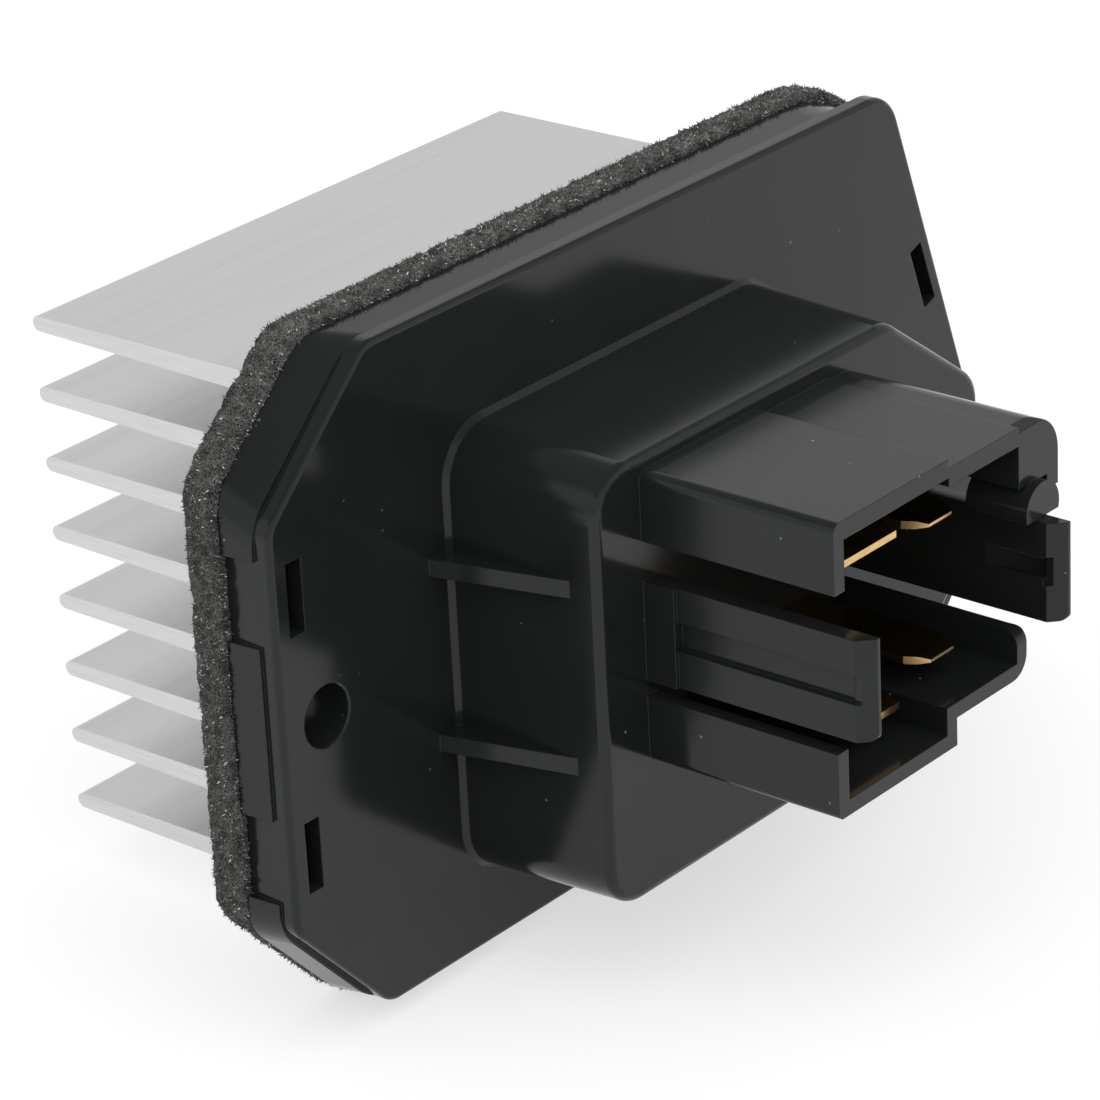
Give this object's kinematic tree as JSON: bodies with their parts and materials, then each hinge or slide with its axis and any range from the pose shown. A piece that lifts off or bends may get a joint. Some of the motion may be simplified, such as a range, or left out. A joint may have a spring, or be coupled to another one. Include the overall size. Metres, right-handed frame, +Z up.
{
  "type": "blower motor resistor",
  "caption": "Fan speed control module: black moulded housing with a bladed plug socket, foam gasket and finned aluminium heat sink behind its flange.",
  "frame": {"origin": "front face of the flange, halfway between the centres of its two screw holes", "axes": "+X along the flange from one screw hole to the other, +Y from the flange back to the fins, so -Y points out of the plug socket, +Z up"},
  "size_m": [0.1156, 0.0914, 0.0706],
  "materials": {
    "housing": "semi-gloss black injection moulding",
    "heat_sink": "mill finish with drawing lines along the fins",
    "foam_gasket": "open-cell dark grey foam",
    "power_blade_upper": "bright plating",
    "power_blade_lower": "bright plating",
    "signal_blade_upper": "bright plating",
    "signal_blade_lower": "bright plating",
    "circuit_board": "green solder mask",
    "transistor": "moulded epoxy",
    "transistor_leads": "tinned",
    "thermal_pad": "grey silicone",
    "transistor_screw": "zinc plated",
    "heat_sink_screws": "zinc plated",
    "capacitor": "sleeved can",
    "shunt_strip": "bare resistance alloy",
    "control_chip": "moulded epoxy",
    "diode": "moulded epoxy",
    "thermal_fuse": "metal can",
    "gate_resistor": "lacquer",
    "disc_capacitor": "dipped ceramic"
  },
  "bodies": {
    "root": {"housing": "housing", "heat_sink": "heat_sink", "foam_gasket": "foam_gasket", "power_blade_upper": "power_blade_upper", "power_blade_lower": "power_blade_lower", "signal_blade_upper": "signal_blade_upper", "signal_blade_lower": "signal_blade_lower", "circuit_board": "circuit_board", "transistor": "transistor", "transistor_leads": "transistor_leads", "thermal_pad": "thermal_pad", "transistor_screw": "transistor_screw", "heat_sink_screws": "heat_sink_screws", "capacitor": "capacitor", "shunt_strip": "shunt_strip", "control_chip": "control_chip", "diode": "diode", "thermal_fuse": "thermal_fuse", "gate_resistor": "gate_resistor", "disc_capacitor": "disc_capacitor"}
  },
  "joints": []
}
